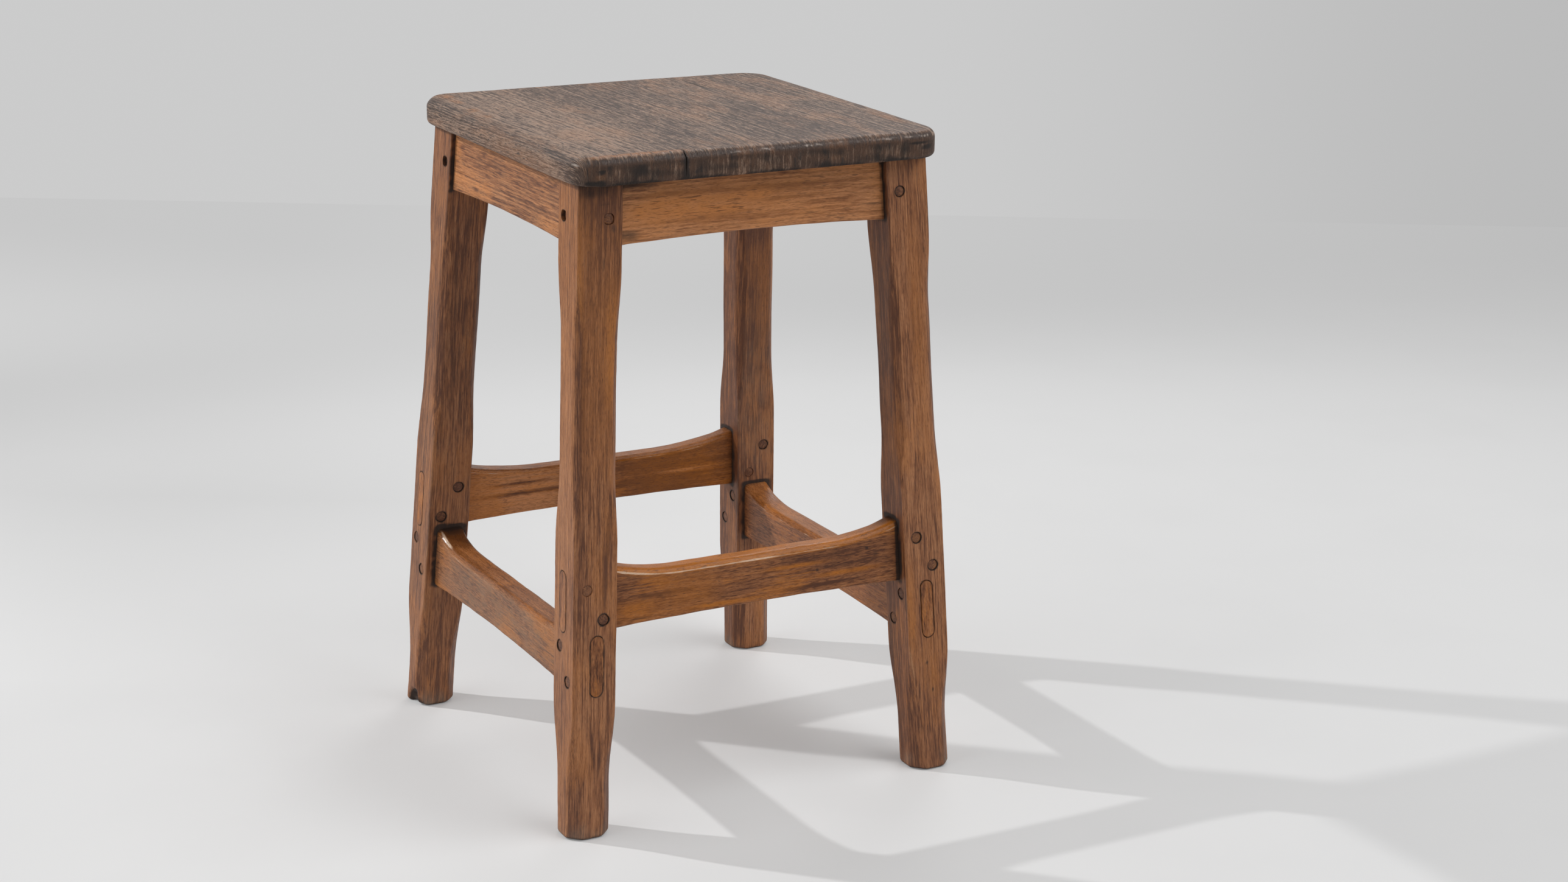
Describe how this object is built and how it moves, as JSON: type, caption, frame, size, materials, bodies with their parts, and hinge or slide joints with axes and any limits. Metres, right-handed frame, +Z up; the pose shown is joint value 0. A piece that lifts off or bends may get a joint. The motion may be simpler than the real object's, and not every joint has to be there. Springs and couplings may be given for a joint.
{
  "type": "wooden stool",
  "caption": "Square hardwood stool with a thick slab seat, splayed legs, aprons and scooped stretchers, joined by pegged mortise and tenon.",
  "frame": {"origin": "on the floor, under the middle of the seat and of the four feet", "axes": "+Z up, +Y to the back, along the seat's grain, +X to the right"},
  "size_m": [0.3946, 0.3934, 0.6],
  "materials": {
    "seat_wood": "weathered dark brown with a worn waxy sheen",
    "leg_wood": "oiled mid brown, satin",
    "apron_wood": "oiled golden brown, satin",
    "stretcher_wood": "oiled golden brown, polished by wear on top",
    "peg_wood": "dark end grain, matte"
  },
  "bodies": {
    "root": {"back_apron": "apron_wood", "back_apron_peg_left": "peg_wood", "back_apron_peg_right": "peg_wood", "back_left_leg": "leg_wood", "back_right_leg": "leg_wood", "back_seat_dowel_left": "peg_wood", "back_seat_dowel_right": "peg_wood", "back_stretcher": "stretcher_wood", "back_stretcher_peg_left_lower": "peg_wood", "back_stretcher_peg_left_upper": "peg_wood", "back_stretcher_peg_right_lower": "peg_wood", "back_stretcher_peg_right_upper": "peg_wood", "front_apron": "apron_wood", "front_apron_peg_left": "peg_wood", "front_apron_peg_right": "peg_wood", "front_left_leg": "leg_wood", "front_right_leg": "leg_wood", "front_seat_dowel_left": "peg_wood", "front_seat_dowel_right": "peg_wood", "front_stretcher": "stretcher_wood", "front_stretcher_peg_left_lower": "peg_wood", "front_stretcher_peg_left_upper": "peg_wood", "front_stretcher_peg_right_lower": "peg_wood", "front_stretcher_peg_right_upper": "peg_wood", "left_apron": "apron_wood", "left_apron_peg_back": "peg_wood", "left_apron_peg_front": "peg_wood", "left_seat_dowel_back": "peg_wood", "left_seat_dowel_front": "peg_wood", "left_stretcher": "stretcher_wood", "left_stretcher_peg_back_lower": "peg_wood", "left_stretcher_peg_back_upper": "peg_wood", "left_stretcher_peg_front_lower": "peg_wood", "left_stretcher_peg_front_upper": "peg_wood", "right_apron": "apron_wood", "right_apron_peg_back": "peg_wood", "right_apron_peg_front": "peg_wood", "right_seat_dowel_back": "peg_wood", "right_seat_dowel_front": "peg_wood", "right_stretcher": "stretcher_wood", "right_stretcher_peg_back_lower": "peg_wood", "right_stretcher_peg_back_upper": "peg_wood", "right_stretcher_peg_front_lower": "peg_wood", "right_stretcher_peg_front_upper": "peg_wood", "seat": "seat_wood"}
  },
  "joints": []
}
